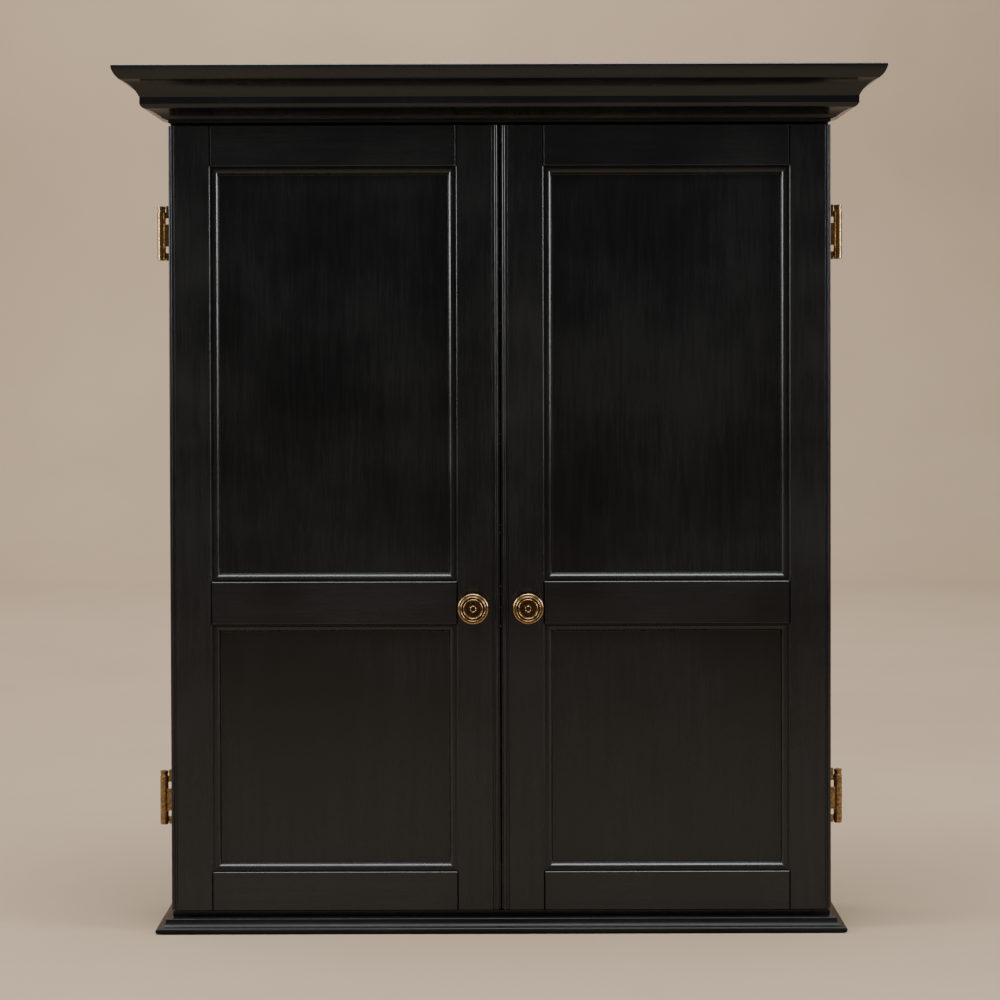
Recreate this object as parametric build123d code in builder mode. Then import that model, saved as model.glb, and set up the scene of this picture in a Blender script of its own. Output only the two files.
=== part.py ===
from build123d import *
import os

# Wall-hung dart board cabinet with two panelled doors. All sizes are in millimetres.
# X runs to the right as seen from the front, the front faces -Y, and +Z is up.
# The origin lies on the wall, straight behind the bull of the dart board.

# ---------------------------------------------------------------- driving dimensions

# Case
HALF_W = 331.0                  # half the width over the sides
SIDE_T = 18.0
CASE_D = 100.0                  # wall to the front edges of the sides
CASE_TOP = 354.0                # top of the sides
CASE_BOTTOM = -485.0            # upper face of the bottom board
BACK_T = 6.0
TOP_BOARD_T = 18.0
BOTTOM_BOARD_T = 18.0
STEP_H = 4.5                    # step along the front of the bottom board
STEP_D = 10.0
CAP_T = 6.0
EASE = 0.4                      # eased arrises
SOFT_EASE = 1.5                 # softer arrises beside the beads and around the panels

# Doors
DOOR_GAP = 3.0                  # above and below the doors
MEETING_GAP = 4.4               # between the beads of the two doors
MEETING_LIP = 1.4               # each meeting edge stands out this far behind its bead
LIP_SET = 5.0                   # lip behind the door face
DOOR_T = 19.0
DOOR_BACK = -(CASE_D + 1.0)     # 1 mm clear of the case
DOOR_FRONT = DOOR_BACK - DOOR_T
DOOR_BOTTOM = CASE_BOTTOM + DOOR_GAP
DOOR_H = 786.0
STILE_W = 42.0
TOP_RAIL_H = 40.7
UPPER_OPENING_H = 415.3
LOCK_RAIL_H = 43.1
BOTTOM_RAIL_H = 38.3
PANEL_T = 7.0
PANEL_SET = 9.0                 # panel face behind the door face
GROOVE_D = 8.0
TONGUE = GROOVE_D - 0.5         # panels and rail tongues in the grooves
BEAD_R = 1.75                   # bead along the upright edges of the doors
QUIRK_W = 1.2                   # narrow channel beside the bead
CHALKBOARD_T = 3.0
FIT = 0.2                       # clearance around set-in pieces

# Crown and base mouldings
CROWN_H = 50.0
CROWN_OUT = 49.5
FRIEZE_T = 18.0
BASE_H = 13.4
BASE_OUT = 14.5
NOSE_R = 3.0                    # half-round nose along the foot of the base moulding
MOULDING_SPARE = 60.0           # spare length that the mitres cut off
HAIRLINE = 0.05                 # joint between neighbouring strips of panel moulding

# Hinges
PIN_X = HALF_W + 9.4
PIN_Y = -(CASE_D + 0.5)
PIN_R = 2.0
PIN_FIT = 0.05                  # radial clearance of the pin in the knuckles
KNUCKLE_R = 4.2
KNUCKLE_H = 11.5                # upper and lower knuckles; the middle one is twice as tall
KNUCKLE_GAP = 0.3
LEAF_T = 1.6                    # leaves are let in flush with the wood
CASE_WEB_H = 5.6                # webs at the outer ends of the upper and lower knuckles
BUTTON_H = 2.2                  # button below the lower knuckle
FINIAL_H = 6.8                  # cap above the upper knuckle
CASE_LEAF_Y = (-78.0, -99.5)
DOOR_LEAF_Y = (-101.5, -115.0)
HINGE_FROM_END = 108.4          # hinge centre from the end of the door
HINGE_SCREW_Z = 15.0

# Knobs and catches
KNOB_X = 27.4
KNOB_DROP = 4.0                 # below the middle of the lock rail
KNOB_R = 15.3
KNOB_H = 25.0
CATCH_X = (8.0, 42.0)
CATCH_Y = (-84.0, -99.5)
CATCH_H = 12.0
STRIKE_X = (11.0, 39.0)
STRIKE_T = 0.8

# Hanging rails
RAIL_T = 18.0
RAIL_H = 50.0
UPPER_RAIL_Z = 236.0            # underside of the upper hanging rail
WALL_SCREW_R = 2.5
WALL_SCREW_SPACING = 406.4      # wall studs at 16 in centres

# Dart board
BOARD_R = 225.5
BOARD_T = 38.0
BOARD_BACK = -30.0
BAND_T = 0.8
WIRE = 1.2
RING_RADII = (170.0, 162.0, 107.0, 99.0, 15.9, 6.35)
SECTORS = 20
NUMBER_RING_R = 203.0
NUMBER_RING_W = 2.5
CORK_T = 4.0
BRACKET_T = 1.6
BRACKET_HALF_W = 30.0
BRACKET_HALF_H = 26.0
BRACKET_FRONT = -20.0
BRACKET_FOOT = 16.0
BOLT_R = 2.5
BOLT_SLOT_R = 2.8
BOLT_HEAD_R = 6.0
BOLT_HEAD_Y = (-12.5, -16.5)
BOLT_END_Y = -48.0

# Dart rack and darts
RACK_HALF_W = 130.0
RACK_T = 18.0
RACK_D = 54.0
RACK_TOP = -445.0
DART_COUNT = 6
DART_PITCH = 42.0
DART_Y = -60.0
DART_HOLE_R = 2.2
DART_LIFT = 0.3                 # barrel nose above the rack
POINT_R = 1.15
POINT_L = 32.0
BARREL_R = 3.2
BARREL_L = 50.0
STEM_R = 2.2
STEM_L = 44.0
FLIGHT_R = 18.0
FLIGHT_H = 44.0
FLIGHT_T = 0.6
FLIGHT_SLEEVE = 14.0            # length of stem inside the flight
SCREWED_GAP = 0.05              # hairline between screwed-together pieces of a dart

# ---------------------------------------------------------------- worked-out places

DOOR_TOP = DOOR_BOTTOM + DOOR_H
MEETING_X = MEETING_GAP / 2
OPENING_NEAR = MEETING_X + STILE_W
OPENING_FAR = HALF_W - STILE_W
LOWER_OPENING = (DOOR_BOTTOM + BOTTOM_RAIL_H, DOOR_TOP - TOP_RAIL_H - UPPER_OPENING_H - LOCK_RAIL_H)
UPPER_OPENING = (LOWER_OPENING[1] + LOCK_RAIL_H, DOOR_TOP - TOP_RAIL_H)
PANEL_FACE = DOOR_FRONT + PANEL_SET
KNOB_Z = (LOWER_OPENING[1] + UPPER_OPENING[0]) / 2 - KNOB_DROP
BARREL_TOP = 2 * KNUCKLE_H      # from the middle of a hinge to the end of its barrel
WEB_CLEAR = PIN_R + 1.0
EAR_CLEAR = KNUCKLE_R + 0.2
HINGE_ZS = (DOOR_TOP - HINGE_FROM_END, DOOR_BOTTOM + HINGE_FROM_END)
TOP_BOARD_Z = DOOR_TOP - TOP_BOARD_T
INNER_W = HALF_W - SIDE_T
FRIEZE_FRONT = -(CASE_D + FRIEZE_T)
CROWN_TOP = CASE_TOP + CAP_T
LEDGE_Z = CASE_BOTTOM - STEP_H
BOARD_FRONT = BOARD_BACK - BOARD_T
UPPER_SCREW_Z = UPPER_RAIL_Z + RAIL_H / 2
LOWER_SCREW_Z = CASE_BOTTOM + RAIL_H / 2
DART_NOSE = RACK_TOP + DART_LIFT
SIDES = {"left": -1, "right": 1}

os.makedirs("parts", exist_ok=True)


def save(piece, label):
    """Label a finished piece and write it to its own file."""
    piece.part.label = label
    export_step(piece.part, f"parts/{label}.step")


def board(xs, ys, zs, ease=0.0, less=()):
    """A square-cut board between two corners, less the pieces let into it."""
    with BuildPart() as piece:
        with BuildSketch(Plane.XY.offset(min(zs))):
            with Locations((sum(xs) / 2, sum(ys) / 2)):
                Rectangle(abs(xs[1] - xs[0]), abs(ys[1] - ys[0]))
        extrude(amount=abs(zs[1] - zs[0]))
        if ease:
            chamfer(piece.faces().sort_by(Axis.Y)[0].edges(), ease)
        for inset in less:
            add(inset.part, mode=Mode.SUBTRACT)
    return piece


def turned(origin, axis, outline, less=()):
    """A turned piece: an outline of (radius, height along the axis), spun about the axis."""
    radial = Vector(1, 0, 0) if axis[2] else Vector(0, 0, 1)
    with BuildPart() as piece:
        with BuildSketch(Plane(origin=origin, x_dir=radial, z_dir=radial.cross(Vector(*axis)))):
            add(outline.line)
            make_face()
        revolve(axis=Axis(origin, axis))
        for inset in less:
            add(inset.part, mode=Mode.SUBTRACT)
    return piece


def moulding(start, end, out, section, mitres, joint=0.0):
    """A length of moulding whose section stands out from the line start-end.

    The section's first axis lies along `out` and its second along (end - start) x out.
    Each mitre is 1 at an outside corner, -1 at an inside corner and 0 at a square end.
    """
    start, end, out = Vector(*start), Vector(*end), Vector(*out)
    along = (end - start).normalized()
    first_cut = Plane(origin=start, z_dir=along + out * mitres[0]).offset(joint)
    last_cut = Plane(origin=end, z_dir=out * mitres[1] - along).offset(joint)
    with BuildPart() as length:
        with BuildSketch(Plane(origin=start - along * MOULDING_SPARE, x_dir=out, z_dir=along)):
            add(section.line)
            make_face()
        extrude(amount=(end - start).length + 2 * MOULDING_SPARE)
        split(bisect_by=first_cut, keep=Keep.TOP)
        split(bisect_by=last_cut, keep=Keep.TOP)
    return length


def group(pieces):
    """Several separate solids kept as one piece."""
    with BuildPart() as joined:
        for piece in pieces:
            add(piece.part)
    return joined


def screw(head, direction, head_r, shank_r, length):
    """A domed screw seated at the point `head`, its head standing out along `direction`."""
    head_h = head_r * 0.45
    with BuildLine() as outline:
        Polyline((0, head_h), (0, -length), (shank_r, -length), (shank_r, 0), (head_r, 0))
        TangentArc((0, head_h), (head_r, 0), tangent=(1, 0))
    return turned(head, direction, outline)


# ---------------------------------------------------------------- fasteners of the case

def case_hinge_screws(side):
    """Screws of the case leaves, two to a hinge, driven into the edge of the side."""
    y = sum(CASE_LEAF_Y) / 2
    face = side * HALF_W
    return [screw((face, y, z + dz), (side, 0, 0), 3.2, 1.5, 13.0)
            for z in HINGE_ZS for dz in (-HINGE_SCREW_Z, HINGE_SCREW_Z)]


def bracket_screws():
    """Four short screws through the feet of the board bracket."""
    foot_face = -(BACK_T + CORK_T + BRACKET_T)
    foot_x = BRACKET_HALF_W + BRACKET_FOOT / 2
    return [screw((x, foot_face, z), (0, -1, 0), 3.2, 1.5, 8.5)
            for x in (-foot_x, foot_x) for z in (-HINGE_SCREW_Z, HINGE_SCREW_Z)]


case_screws = group(case_hinge_screws(-1) + case_hinge_screws(1) + bracket_screws())
save(case_screws, "case_screws")

# ---------------------------------------------------------------- hinges

def hinge_leaf(side, z, plate, plate_y, web_y, knuckles, webs, screws):
    """One leaf of a hinge: a plate flush with the outside of the cabinet, knuckles and webs.

    The plate and each knuckle are a pair of heights from the middle of the hinge. Each web has
    its distance from the pin axis as well.
    """
    face, inner = side * HALF_W, side * (HALF_W - LEAF_T)
    knuckle_centre = (side * PIN_X, PIN_Y)
    with BuildPart() as leaf:
        with BuildSketch(Plane.XY.offset(z + plate[0])):
            with Locations(((face + inner) / 2, sum(plate_y) / 2)):
                Rectangle(LEAF_T, plate_y[0] - plate_y[1])
        extrude(amount=plate[1] - plate[0])
        for low, high, clear in webs:
            web_end = side * (PIN_X - clear)
            with BuildSketch(Plane.XY.offset(z + low)):
                with Locations(((inner + web_end) / 2, sum(web_y) / 2)):
                    Rectangle(abs(web_end - inner), web_y[0] - web_y[1])
            extrude(amount=high - low)
        for low, high in knuckles:
            with BuildSketch(Plane.XY.offset(z + low)):
                with Locations(knuckle_centre):
                    Circle(KNUCKLE_R)
            extrude(amount=high - low)
        with BuildSketch(Plane.XY.offset(z - 2 * KNUCKLE_H)):
            with Locations(knuckle_centre):
                Circle(PIN_R + PIN_FIT)
        extrude(amount=4 * KNUCKLE_H, mode=Mode.SUBTRACT)
        add(screws.part, mode=Mode.SUBTRACT)
    return leaf


def case_leaf(side, z):
    """Leaf fixed to the case, with the upper and lower knuckles and ears beside the pin's ends."""
    plate = (-BARREL_TOP - BUTTON_H, BARREL_TOP + FINIAL_H)
    knuckles = ((-BARREL_TOP, -KNUCKLE_H), (KNUCKLE_H, BARREL_TOP))
    webs = ((-BARREL_TOP, -BARREL_TOP + CASE_WEB_H, WEB_CLEAR), (plate[0], -BARREL_TOP, EAR_CLEAR),
            (BARREL_TOP - CASE_WEB_H, BARREL_TOP, WEB_CLEAR), (BARREL_TOP, plate[1], EAR_CLEAR))
    web_y = (CASE_LEAF_Y[1] + LEAF_T, CASE_LEAF_Y[1])
    return hinge_leaf(side, z, plate, CASE_LEAF_Y, web_y, knuckles, webs, case_screws)


def door_leaf(side, z, screws):
    """Leaf fixed to the door, with the long middle knuckle."""
    knuckle = (-KNUCKLE_H + KNUCKLE_GAP, KNUCKLE_H - KNUCKLE_GAP)
    web_y = (DOOR_LEAF_Y[0], DOOR_LEAF_Y[0] - LEAF_T)
    plate = (-BARREL_TOP, BARREL_TOP)
    return hinge_leaf(side, z, plate, DOOR_LEAF_Y, web_y, (knuckle,), (knuckle + (WEB_CLEAR,),), screws)


# Pin outline, as (radius, height from the hinge's middle): a flat button below, and above a
# grooved collar and a domed cap as wide as the barrel.
SEAT = BARREL_TOP + 0.1
with BuildLine() as pin_outline:
    Polyline((0, -BARREL_TOP - BUTTON_H), (3.4, -BARREL_TOP - BUTTON_H), (4.1, -BARREL_TOP - BUTTON_H + 0.7),
             (4.1, -SEAT), (PIN_R, -SEAT), (PIN_R, SEAT), (4.1, SEAT), (4.1, SEAT + 0.6),
             (3.6, SEAT + 1.0), (3.6, SEAT + 3.4), (4.1, SEAT + 3.9), (4.1, BARREL_TOP + FINIAL_H - 0.8))
    TangentArc((0, BARREL_TOP + FINIAL_H), (4.1, BARREL_TOP + FINIAL_H - 0.8), tangent=(1, 0))
    Line((0, BARREL_TOP + FINIAL_H), (0, -BARREL_TOP - BUTTON_H))

case_leaves = {name: group([case_leaf(side, z) for z in HINGE_ZS]) for name, side in SIDES.items()}
for name, leaves in case_leaves.items():
    save(leaves, f"{name}_case_hinge_leaves")
hinge_pins = group([turned((side * PIN_X, PIN_Y, z), (0, 0, 1), pin_outline)
                    for side in SIDES.values() for z in HINGE_ZS])
save(hinge_pins, "hinge_pins")

# ---------------------------------------------------------------- case

with BuildPart() as wall_screw_holes:
    with BuildSketch(Plane.XZ):
        with Locations((0, (UPPER_SCREW_Z + LOWER_SCREW_Z) / 2)):
            with GridLocations(WALL_SCREW_SPACING, UPPER_SCREW_Z - LOWER_SCREW_Z, 2, 2):
                Circle(WALL_SCREW_R)
    extrude(amount=BACK_T + RAIL_T)

INNER_XS = (-INNER_W, INNER_W)
OUTER_XS = (-HALF_W, HALF_W)
RAIL_YS = (-BACK_T, -(BACK_T + RAIL_T))

back_panel = board(INNER_XS, (0, -BACK_T), (CASE_BOTTOM, CASE_TOP), less=(wall_screw_holes, case_screws))
save(back_panel, "back_panel")

for name, side in SIDES.items():
    case_side = board((side * INNER_W, side * HALF_W), (0, -CASE_D), (CASE_BOTTOM, CASE_TOP),
                      ease=EASE, less=(case_screws, case_leaves[name]))
    save(case_side, f"{name}_side")

top_board = board(INNER_XS, (-BACK_T, -CASE_D), (TOP_BOARD_Z, DOOR_TOP), ease=EASE)
save(top_board, "top_board")

# The front edge of the bottom board is stepped, and its lower part reaches the front of the doors.
with BuildPart() as bottom_board:
    with BuildSketch(Plane.YZ.offset(-HALF_W)):
        with BuildLine():
            foot = CASE_BOTTOM - BOTTOM_BOARD_T
            Polyline((0, foot), (DOOR_FRONT, foot), (DOOR_FRONT, LEDGE_Z), (DOOR_FRONT + STEP_D, LEDGE_Z),
                     (DOOR_FRONT + STEP_D, CASE_BOTTOM), (0, CASE_BOTTOM), close=True)
        make_face()
    extrude(amount=2 * HALF_W)
save(bottom_board, "bottom_board")

upper_rail_zs = (UPPER_RAIL_Z, UPPER_RAIL_Z + RAIL_H)
save(board(INNER_XS, RAIL_YS, upper_rail_zs, ease=EASE, less=(wall_screw_holes,)), "upper_hanging_rail")
lower_rail_zs = (CASE_BOTTOM, CASE_BOTTOM + RAIL_H)
save(board(INNER_XS, RAIL_YS, lower_rail_zs, ease=EASE, less=(wall_screw_holes,)), "lower_hanging_rail")

frieze_rail = board(OUTER_XS, (-CASE_D, FRIEZE_FRONT), (DOOR_TOP + DOOR_GAP, CASE_TOP), ease=EASE)
save(frieze_rail, "frieze_rail")
save(board(OUTER_XS, (0, FRIEZE_FRONT), (CASE_TOP, CROWN_TOP)), "crown_cap")

# ---------------------------------------------------------------- crown and base mouldings

# Crown section, as (distance out, distance down from the top): a round-edged fillet, an ovolo
# and a cove, an upright band, then a small ovolo, a shallow cove and a thin lower lip.
with BuildLine() as crown_section:
    Polyline((0, CROWN_H), (0, 0), (CROWN_OUT - 1.2, 0))
    ThreePointArc((CROWN_OUT - 1.2, 0), (CROWN_OUT - 0.35, 0.35), (CROWN_OUT, 1.2))
    Line((CROWN_OUT, 1.2), (CROWN_OUT, 2.6))
    ThreePointArc((CROWN_OUT, 2.6), (47.0, 8.7), (42.5, 13.6))
    ThreePointArc((42.5, 13.6), (32.1, 19.7), (25.0, 29.5))
    Line((25.0, 29.5), (25.0, 36.1))
    ThreePointArc((25.0, 36.1), (22.5, 39.6), (18.4, 41.0))
    ThreePointArc((18.4, 41.0), (12.4, 43.4), (7.2, 46.6))
    Polyline((7.2, 46.6), (4.2, 49.2), (2.2, 49.2), (2.2, CROWN_H), (0, CROWN_H))

# Base section, as (distance out, distance down from the ledge): a flat ledge, a cove that
# spreads downwards, and a half-round nose.
with BuildLine() as base_section:
    nose_top = BASE_H - 2 * NOSE_R
    nose_x = BASE_OUT - NOSE_R
    Polyline((0, BASE_H), (0, 0), (5.0, 0), (5.4, 0.4))
    ThreePointArc((5.4, 0.4), (6.2, 4.9), (8.8, nose_top))
    Line((8.8, nose_top), (nose_x, nose_top))
    ThreePointArc((nose_x, nose_top), (BASE_OUT, nose_top + NOSE_R), (nose_x, BASE_H))
    Line((nose_x, BASE_H), (0, BASE_H))


def wrap(name, section, front, top):
    """Mouldings along the front and both sides, mitred at the front corners."""
    left_wall, left_corner = (-HALF_W, 0, top), (-HALF_W, front, top)
    right_wall, right_corner = (HALF_W, 0, top), (HALF_W, front, top)
    save(moulding(left_wall, left_corner, (-1, 0, 0), section, (0, 1)), f"{name}_left")
    save(moulding(left_corner, right_corner, (0, -1, 0), section, (1, 1)), f"{name}_front")
    save(moulding(right_corner, right_wall, (1, 0, 0), section, (1, 0)), f"{name}_right")


wrap("crown", crown_section, FRIEZE_FRONT, CROWN_TOP)
wrap("base", base_section, DOOR_FRONT, CASE_BOTTOM - BOTTOM_BOARD_T + BASE_H)

magnet_catches = group([board((side * CATCH_X[0], side * CATCH_X[1]), CATCH_Y,
                              (TOP_BOARD_Z - CATCH_H, TOP_BOARD_Z), ease=EASE)
                        for side in SIDES.values()])
save(magnet_catches, "magnet_catches")

# ---------------------------------------------------------------- doors

def door_stile(edge, toward, less, lip=0.0):
    """A full-height stile, beaded along its edge and grooved on the side `toward` the panels.

    Behind the bead the edge can stand out by a lip, which narrows the gap between the doors.
    """
    def at(across, deep):
        return (edge + toward * across, DOOR_FRONT + deep)

    quirk = 2 * BEAD_R + QUIRK_W
    groove = STILE_W - GROOVE_D
    with BuildPart() as stile:
        with BuildSketch(Plane.XY.offset(DOOR_BOTTOM)):
            with BuildLine():
                ThreePointArc(at(0, BEAD_R), at(BEAD_R, 0), at(2 * BEAD_R, BEAD_R))
                Polyline(at(2 * BEAD_R, BEAD_R), at(quirk, BEAD_R), at(quirk, SOFT_EASE))
                RadiusArc(at(quirk, SOFT_EASE), at(quirk + SOFT_EASE, 0), toward * SOFT_EASE)
                Line(at(quirk + SOFT_EASE, 0), at(STILE_W - SOFT_EASE, 0))
                RadiusArc(at(STILE_W - SOFT_EASE, 0), at(STILE_W, SOFT_EASE), toward * SOFT_EASE)
                Polyline(at(STILE_W, SOFT_EASE), at(STILE_W, PANEL_SET), at(groove, PANEL_SET),
                         at(groove, PANEL_SET + PANEL_T), at(STILE_W, PANEL_SET + PANEL_T),
                         at(STILE_W, DOOR_T), at(-lip, DOOR_T))
                if lip:
                    Polyline(at(-lip, DOOR_T), at(-lip, LIP_SET), at(0, LIP_SET), at(0, BEAD_R))
                else:
                    Line(at(0, DOOR_T), at(0, BEAD_R))
            make_face()
        extrude(amount=DOOR_H)
        for inset in less:
            add(inset.part, mode=Mode.SUBTRACT)
    return stile


def door_rail(side, low, high, grooves):
    """A rail between the stiles, with a tongue at each end; `grooves` names its grooved edges."""
    near, width = OPENING_NEAR, OPENING_FAR - OPENING_NEAR
    middle = side * (near + width / 2)
    tongue_low = low + GROOVE_D * ("below" in grooves)
    tongue_high = high - GROOVE_D * ("above" in grooves)
    panel_y = PANEL_FACE + PANEL_T / 2
    with BuildPart() as rail:
        with BuildSketch(Plane.XY.offset(low)):
            with Locations((middle, DOOR_FRONT + DOOR_T / 2)):
                Rectangle(width, DOOR_T)
        extrude(amount=high - low)
        front = rail.faces().sort_by(Axis.Y)[0]
        chamfer(front.edges().filter_by(Axis.Z), EASE)
        long_edges = rail.edges().filter_by(Axis.X).group_by(Axis.Y)[0].sort_by(Axis.Z)
        fillet([long_edges[i] for i, edge in ((0, "below"), (-1, "above")) if edge in grooves], SOFT_EASE)
        for edge in grooves:
            start = low if edge == "below" else high - GROOVE_D
            with BuildSketch(Plane.XY.offset(start)):
                with Locations((middle, panel_y)):
                    Rectangle(width, PANEL_T)
            extrude(amount=GROOVE_D, mode=Mode.SUBTRACT)
        with BuildSketch(Plane.XY.offset(tongue_low)):
            with Locations((middle, panel_y)):
                Rectangle(width + 2 * TONGUE, PANEL_T)
        extrude(amount=tongue_high - tongue_low)
    return rail


# Panel moulding, as (distance in from the opening's edge, height above the panel): a sunk
# fillet beside the frame, then a quarter round down to the panel.
with BuildLine() as panel_section:
    Polyline((0, 0), (0, 5.0), (2.4, 5.0), (2.4, 6.6))
    ThreePointArc((2.4, 6.6), (6.2, 4.9), (7.8, 1.0))
    Polyline((7.8, 1.0), (8.3, 0.8), (8.3, 0), (0, 0))


def panel_strips(xs, zs):
    """Four mitred strips around an opening, run anticlockwise as seen from the front."""
    (x0, x1), (z0, z1) = sorted(xs), zs
    corners = [(x0, PANEL_FACE, z0), (x1, PANEL_FACE, z0), (x1, PANEL_FACE, z1), (x0, PANEL_FACE, z1)]
    inwards = [(0, 0, 1), (-1, 0, 0), (0, 0, -1), (1, 0, 0)]
    return [moulding(corners[i], corners[(i + 1) % 4], inwards[i], panel_section, (-1, -1), HAIRLINE)
            for i in range(4)]


# Knob outline, as (radius, height from the door): a small foot, a waist, a flared bowl with a
# rounded rim, and a dished face with raised rings.
with BuildLine() as knob_outline:
    Polyline((0, 0), (8.5, 0), (8.5, 2.0))
    ThreePointArc((8.5, 2.0), (6.3, 4.6), (5.8, 9.0))
    ThreePointArc((5.8, 9.0), (8.5, 15.2), (13.8, 18.0))
    ThreePointArc((13.8, 18.0), (KNOB_R, 20.4), (13.1, 22.9))
    ThreePointArc((13.1, 22.9), (12.3, 24.0), (11.3, 23.6))
    ThreePointArc((11.3, 23.6), (10.0, KNOB_H), (8.8, 23.7))
    ThreePointArc((8.8, 23.7), (6.2, 22.7), (3.8, 23.5))
    ThreePointArc((3.8, 23.5), (2.9, 24.6), (2.0, 23.8))
    TangentArc((0, 22.7), (2.0, 23.8), tangent=(1, 0))
    Line((0, 22.7), (0, 0))


def door_screws(side):
    """Screws of a door: two in each hinge leaf, and one through the stile into the knob."""
    leaf_y = sum(DOOR_LEAF_Y) / 2
    face = side * HALF_W
    leaf_screws = [screw((face, leaf_y, z + dz), (side, 0, 0), 3.2, 1.5, 13.0)
                   for z in HINGE_ZS for dz in (-HINGE_SCREW_Z, HINGE_SCREW_Z)]
    knob_screw = screw((side * KNOB_X, DOOR_BACK, KNOB_Z), (0, 1, 0), 4.2, 2.0, DOOR_T + 11.0)
    return group(leaf_screws + [knob_screw])


def make_door(name, side):
    """All the pieces of one door. The left door is side -1, the right door is side 1."""
    opening = (side * OPENING_NEAR, side * OPENING_FAR)
    screws = door_screws(side)
    save(screws, f"{name}_door_screws")
    leaves = group([door_leaf(side, z, screws) for z in HINGE_ZS])
    save(leaves, f"{name}_door_hinge_leaves")
    save(door_stile(side * HALF_W, -side, (screws, leaves)), f"{name}_door_outer_stile")
    save(door_stile(side * MEETING_X, side, (screws,), MEETING_LIP), f"{name}_door_meeting_stile")

    save(door_rail(side, UPPER_OPENING[1], DOOR_TOP, ("below",)), f"{name}_door_top_rail")
    save(door_rail(side, LOWER_OPENING[1], UPPER_OPENING[0], ("below", "above")), f"{name}_door_lock_rail")
    save(door_rail(side, DOOR_BOTTOM, LOWER_OPENING[0], ("above",)), f"{name}_door_bottom_rail")

    panel_xs = (side * (OPENING_NEAR - TONGUE), side * (OPENING_FAR + TONGUE))
    panel_ys = (PANEL_FACE, PANEL_FACE + PANEL_T)
    for place, (low, high) in {"upper": UPPER_OPENING, "lower": LOWER_OPENING}.items():
        save(board(panel_xs, panel_ys, (low - TONGUE, high + TONGUE)), f"{name}_door_{place}_panel")
    strips = panel_strips(opening, UPPER_OPENING) + panel_strips(opening, LOWER_OPENING)
    save(group(strips), f"{name}_door_panel_mouldings")

    chalkboard_xs = (side * (OPENING_NEAR + FIT), side * (OPENING_FAR - FIT))
    chalkboard_zs = (UPPER_OPENING[0] + FIT, UPPER_OPENING[1] - FIT)
    save(board(chalkboard_xs, (DOOR_BACK, DOOR_BACK - CHALKBOARD_T), chalkboard_zs), f"{name}_chalkboard")

    strike_xs = (side * STRIKE_X[0], side * STRIKE_X[1])
    strike_zs = (TOP_BOARD_Z - CATCH_H, TOP_BOARD_Z)
    save(board(strike_xs, (DOOR_BACK, DOOR_BACK + STRIKE_T), strike_zs), f"{name}_strike_plate")

    save(turned((side * KNOB_X, DOOR_FRONT, KNOB_Z), (0, -1, 0), knob_outline, (screws,)), f"{name}_knob")


for name, side in SIDES.items():
    make_door(name, side)

# ---------------------------------------------------------------- board and its bracket

cork_zs = (CASE_BOTTOM + RAIL_H, UPPER_RAIL_Z)
cork = board(INNER_XS, (-BACK_T, -(BACK_T + CORK_T)), cork_zs, less=(case_screws,))
save(cork, "cork_backing")

# Hat-shaped steel bracket with a slot, open at the top, that the neck of the bolt drops into.
BRACKET_SEAT = -(BACK_T + CORK_T)
with BuildPart() as board_bracket:
    with BuildSketch(Plane.XY.offset(-BRACKET_HALF_H)):
        with BuildLine():
            foot_x = BRACKET_HALF_W + BRACKET_FOOT
            Polyline((-foot_x, BRACKET_SEAT), (-BRACKET_HALF_W + BRACKET_T, BRACKET_SEAT),
                     (-BRACKET_HALF_W + BRACKET_T, BRACKET_FRONT + BRACKET_T),
                     (BRACKET_HALF_W - BRACKET_T, BRACKET_FRONT + BRACKET_T),
                     (BRACKET_HALF_W - BRACKET_T, BRACKET_SEAT), (foot_x, BRACKET_SEAT),
                     (foot_x, BRACKET_SEAT - BRACKET_T), (BRACKET_HALF_W, BRACKET_SEAT - BRACKET_T),
                     (BRACKET_HALF_W, BRACKET_FRONT), (-BRACKET_HALF_W, BRACKET_FRONT),
                     (-BRACKET_HALF_W, BRACKET_SEAT - BRACKET_T), (-foot_x, BRACKET_SEAT - BRACKET_T),
                     close=True)
        make_face()
    extrude(amount=2 * BRACKET_HALF_H)
    with BuildSketch(Plane.XZ.offset(-BRACKET_FRONT)):
        Circle(BOLT_SLOT_R)
        with Locations((0, BRACKET_HALF_H / 2)):
            Rectangle(2 * BOLT_SLOT_R, BRACKET_HALF_H)
    extrude(amount=-2 * BRACKET_T, mode=Mode.SUBTRACT)
    add(case_screws.part, mode=Mode.SUBTRACT)
save(board_bracket, "board_bracket")

with BuildPart() as hanging_bolt:
    with BuildSketch(Plane.XZ.offset(-BOLT_HEAD_Y[0])):
        Circle(BOLT_HEAD_R)
    extrude(amount=BOLT_HEAD_Y[0] - BOLT_HEAD_Y[1])
    chamfer(hanging_bolt.faces().sort_by(Axis.Y)[-1].edges(), 1.0)
    with BuildSketch(Plane.XZ.offset(-BOLT_HEAD_Y[1])):
        Circle(BOLT_R)
    extrude(amount=BOLT_HEAD_Y[1] - BOLT_END_Y)
save(hanging_bolt, "hanging_bolt")

with BuildPart() as sisal_board:
    with BuildSketch(Plane.XZ.offset(-BOARD_BACK)):
        Circle(BOARD_R - BAND_T)
    extrude(amount=BOARD_T)
    add(hanging_bolt.part, mode=Mode.SUBTRACT)
save(sisal_board, "sisal_board")

with BuildPart() as board_band:
    with BuildSketch(Plane.XZ.offset(-BOARD_BACK)):
        Circle(BOARD_R)
        Circle(BOARD_R - BAND_T, mode=Mode.SUBTRACT)
    extrude(amount=BOARD_T)
save(board_band, "board_band")

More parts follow.
